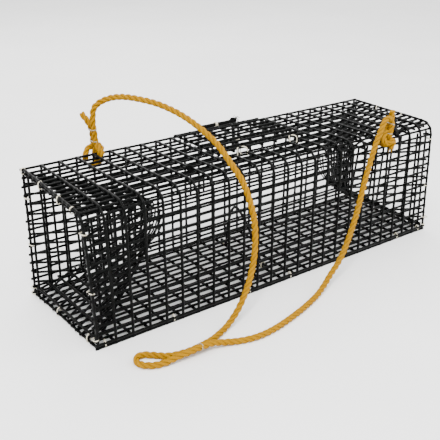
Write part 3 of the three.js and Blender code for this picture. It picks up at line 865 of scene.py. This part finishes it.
def latch():
    """The elastic cord with its knot, hook and clamp ring, and the tail that ties it to the back wall."""
    rng = random.Random(7)
    cord = Sweeps()
    run = smooth_path([(KNOT_X - 3, LATCH_Y, LATCH_Z), (28, LATCH_Y + 0.2, LATCH_Z - 0.4),
                       (CLAMP_X, LATCH_Y, LATCH_Z), (0, LATCH_Y, LATCH_Z - 0.2),
                       (-13.6, LATCH_Y, LATCH_Z)], 3)
    cord.add(run, [3.0 - 0.45 * math.exp(-((p.x - CLAMP_X) / 3) ** 2) for p in run], 14)
    knot = []
    for i in range(60):
        a = 2 * math.pi * i / 60
        bulge = (3.1 + 1.3 * math.cos(3 * a)) * 0.95
        knot.append(Vector((KNOT_X + 2.2 * math.sin(3 * a), LATCH_Y + bulge * math.cos(2 * a),
                            LATCH_Z + bulge * math.sin(2 * a))))
    cord.add(knot, 2.2, 10, closed=True)
    frayed_end(cord, Vector((KNOT_X + 3, LATCH_Y, LATCH_Z + 1)), Vector((0.8, -0.1, 0.5)), rng)
    cord.make("latch_cord_braid", BRAID, "latch", ["latch_cord"])

    hook = Sweeps()
    bends = [(-9.5, LATCH_Y + 2.6, LATCH_Z - 1.2), (-12.8, LATCH_Y + 3.6, LATCH_Z + 1.2),
             (-15.3, LATCH_Y + 1.5, LATCH_Z + 3.2), (-16.2, LATCH_Y - 1.2, LATCH_Z + 1.6),
             (-19.5, LATCH_Y, LATCH_Z + 0.2), (-23.0, LATCH_Y - 0.8, LATCH_Z + 0.4),
             (-25.5, LATCH_Y - 2.6, LATCH_Z + 0.8), (-26.0, LATCH_Y - 4.6, LATCH_Z + 1.0)]
    hook.add(smooth_path(bends, 0.9), 1.15, 9)
    hook.make("latch_hook_wire", HOOK_STEEL, "latch", ["latch_hook"])

    ring = Sweeps()
    for offset in (-1.0, 1.0):
        loop = []
        for i in range(24):
            a = 2 * math.pi * i / 24
            loop.append(Vector((CLAMP_X + offset, LATCH_Y + CLAMP_RADIUS * math.cos(a),
                                LATCH_Z + CLAMP_RADIUS * math.sin(a))))
        ring.add(loop, 1.0, 8, closed=True)
    ring.make("latch_clamp_ring_wire", GALVANISED, "latch", ["latch_clamp_ring"])

    anchor = Sweeps()
    tail = Vector((KNOT_X - 0.6, 95.3, 149))
    fall = smooth_path([(KNOT_X, LATCH_Y - 0.1, 186.2), (KNOT_X, LATCH_Y - 0.1, 182), (KNOT_X, 95.2, 173),
                        (KNOT_X, 94.8, 162), tail], 3)
    anchor.add(fall, [2.95 - 0.4 * math.exp(-((p.z - 162) / 3) ** 2) for p in fall], 12)
    frayed_end(anchor, tail, Vector((0, 0.2, -1)), rng, 12, 6)
    anchor.make("latch_anchor_cord_braid", BRAID, "trap", ["latch_anchor_cord"])


def bait_clip():
    """A springy wire arch with a bead on each foot."""
    clip = Sweeps()
    route = [(0, -48, CLIP_FOOT_Z), (0, -40, CLIP_FOOT_Z), (-0.1, -36.5, 8.2), (-1.2, -34.4, 13.5),
             (-6.5, -24.5, 43), (-11.5, -9.5, 72), (-14.2, 0.5, 84), (-15, 7.5, 87.6), (-14.2, 14.5, 84),
             (-11.5, 24.5, 72), (-6.5, 39.5, 43), (-1.2, 49.4, 13.5), (-0.1, 51.5, 8.2),
             (0, 55, CLIP_FOOT_Z), (0, 63, CLIP_FOOT_Z)]
    clip.add(smooth_path(route, 2.5), CLIP_RADIUS, 10)
    for y in (-48, 63):
        bead = [Vector((0, y + d, CLIP_FOOT_Z)) for d in (-2.2, -1.4, 0, 1.4, 2.2)]
        clip.add(bead, [1.4, 2.6, 3.0, 2.6, 1.4], 10)
    clip.make("bait_clip_wire", CLIP_COATED, "bait_clip", ["bait_clip"])


# ---- Small things tied to the mesh ----

def rope_end(name, centre_points):
    """A short end of the same rope, tucked beside its anchor, with its cut tip frayed."""
    centre_line = smooth_path(centre_points, ROPE_STEP)
    strands, radius = rope_strand_paths(centre_line)
    sweeps = Sweeps()
    for strand in strands:
        sweeps.add(strand, radius, 10)
    rng = random.Random(21)
    tip = centre_line[-1]
    frayed_end(sweeps, tip, (tip - centre_line[-3]).normalized(), rng, 14, 5.0)
    return sweeps.make(name, ROPE_YARN, "trap")


def hanging_tab():
    """A scrap of mesh hanging inside the top, tied up with a scrap of black cord."""
    tab = Sweeps()
    left, right, wire = -130.3, -109.3, 1.45
    for x in (left, right):
        tab.add([(x, -43, 185.4), (x + 0.3, -43.2, 170), (x, -43, 151.5)], wire, 8)
    for z, overhang in ((155.0, 3.2), (168.0, 1.8)):
        crossbar = [(left - overhang, -41.0, z), (-120, -41.0, z + 0.3), (right + overhang, -41.0, z)]
        tab.add(crossbar, wire, 8)
    tab.make("hanging_tab", COATED, "trap")

    knot = Sweeps()
    turns = []
    for i in range(54):
        a = 2 * math.pi * i / 54
        bulge = 3.0 + 1.4 * math.cos(3 * a)
        turns.append(Vector((-131.4 + bulge * math.cos(2 * a), -43.2 + 2.4 * math.sin(3 * a),
                             188.2 + bulge * math.sin(2 * a))))
    knot.add(turns, 1.7, 8, closed=True)
    frayed_end(knot, Vector((-134, -44, 189)), Vector((-0.7, -0.3, 0.2)), random.Random(3), 9, 5.0)
    knot.make("hanging_tab_knot", BRAID, "trap")


# ---- Everything ----

# The rings that stand for no CAD ring: (y, z) on each end
EXTRA_END_RINGS = {
    "left": ((86.5, 184.5), (-66.0, 184.0), (91.5, 10.0), (90.8, 1.8), (-87.4, 14.6)),
    "right": ((-91.8, 24.0), (-87.5, 10.0)),
}
LEFT_HITCH = [(-214, 93, 179), (-211.5, 96.5, 184.5), (-207, 101, 189.5), (-199.5, 104, 193),
              (-191.5, 102, 194.5), (-188.4, 96, 193.5), (-190.5, 89, 188), (-196, 84, 181.5),
              (-203, 83, 175.5), (-210, 84, 170)]
RIGHT_HITCH = [(194, -89.5, 193), (187, -93.5, 192), (181.5, -96.5, 188), (179.6, -98.5, 182.5),
               (183, -101, 178.5), (188, -103, 178.5), (191.8, -104.5, 181), (194.6, -104, 180),
               (195.2, -102.5, 176), (194, -102, 172), (193.4, -102, 168.5)]


def add_rings():
    for i in range(1, 5):
        hog_ring(f"hatch_hinge_ring_{i}", 4.8, 5.8, 0, (0, 2.9, 0.6), wire=0.7, tilt=0.62 * (-1) ** i)
    for i in range(1, 8):
        hog_ring(f"seam_ring_{i}", 2.2, 3.6, 0, wire=0.75)
    for side in ("left", "right"):
        for i in (1, 2):
            for place in ("top", "bottom"):
                hog_ring(f"{side}_end_ring_{place}_{i}", 2.8, 4.4, 1, wire=0.72, tilt=0.3)
            for place in ("front", "back"):
                hog_ring(f"{side}_end_ring_{place}_{i}", 2.8, 4.4, 2, wire=0.72, tilt=0.3)
    for side, direction in (("left", -1), ("right", 1)):
        for i, (y, z) in enumerate(EXTRA_END_RINGS[side]):
            centre = skewed((direction * (HALF_LENGTH - 0.6), y, z))
            normal_axis = 2 if z < 30 else 1
            add_hog_ring(f"{side}_end_ring_extra_{i + 1}", centre, 2.4, 3.6, normal_axis, wire=0.72)
    hog_ring("latch_anchor_ring", 4.9, 6.05, 2)
    hog_ring("bait_clip_ring_front", 2.5, 3.9, 1)
    hog_ring("bait_clip_ring_back", 2.5, 3.9, 1)


def add_rope():
    (left, bridle, right), centre_line, whole = rope_pieces()
    up = Vector((0, 0, 1))
    lean = Vector((math.sin(RIGHT_RING_LEAN), 0, math.cos(RIGHT_RING_LEAN)))
    normals = {
        "rope_left_ring_lower": up,
        "rope_left_ring_upper": up,
        "rope_right_ring_lower": lean,
        "rope_right_ring_upper": lean,
        "rope_eye_ring": Vector((1, 0, 0)),
    }
    rings = [rope_ring(node, whole, normal) for node, normal in normals.items()]
    hitches = [rope_end("rope_left_hitch", LEFT_HITCH), rope_end("rope_right_hitch", RIGHT_HITCH)]


def add_studio():
    bpy.ops.mesh.primitive_plane_add(size=14, location=(0, 0, 0))
    floor = bpy.context.object
    floor.name = "studio_floor"
    floor.data.materials.append(studio_floor("studio_floor"))

    world = bpy.data.worlds.new("studio")
    world.use_nodes = True
    sky = world.node_tree.nodes["Background"]
    sky.inputs["Color"].default_value = (1.0, 1.0, 1.0, 1)
    sky.inputs["Strength"].default_value = 2.0
    bpy.context.scene.world = world

    for name, place, size, power in (
            ("key", (-0.9, -1.1, 2.2), 0.8, 90.0),
            ("fill", (1.6, -1.4, 1.5), 1.8, 28.0),
            ("back", (0.4, 1.8, 1.8), 1.6, 38.0)):
        light = bpy.data.lights.new(name, "AREA")
        light.size = size
        light.energy = power
        lamp = bpy.data.objects.new(name, light)
        lamp.location = place
        lamp.rotation_euler = (Vector((0, 0, 0.1)) - Vector(place)).to_track_quat("-Z", "Y").to_euler()
        bpy.context.scene.collection.objects.link(lamp)


def add_camera():
    camera = bpy.data.cameras.new("camera")
    camera.sensor_width = CAMERA_SENSOR
    camera.lens = CAMERA_LENS
    camera.clip_start = 0.05
    camera.clip_end = 30
    holder = bpy.data.objects.new("camera", camera)
    holder.location = CAMERA_PLACE
    holder.rotation_euler = Vector(CAMERA_LOOK).to_track_quat("-Z", "Y").to_euler()
    bpy.context.scene.collection.objects.link(holder)
    bpy.context.scene.camera = holder


add_camera()
add_rope()
body_mesh()
hatch_mesh()
funnel_mesh("left", -1)
funnel_mesh("right", 1)
add_rings()
latch()
bait_clip()
hanging_tab()
add_studio()
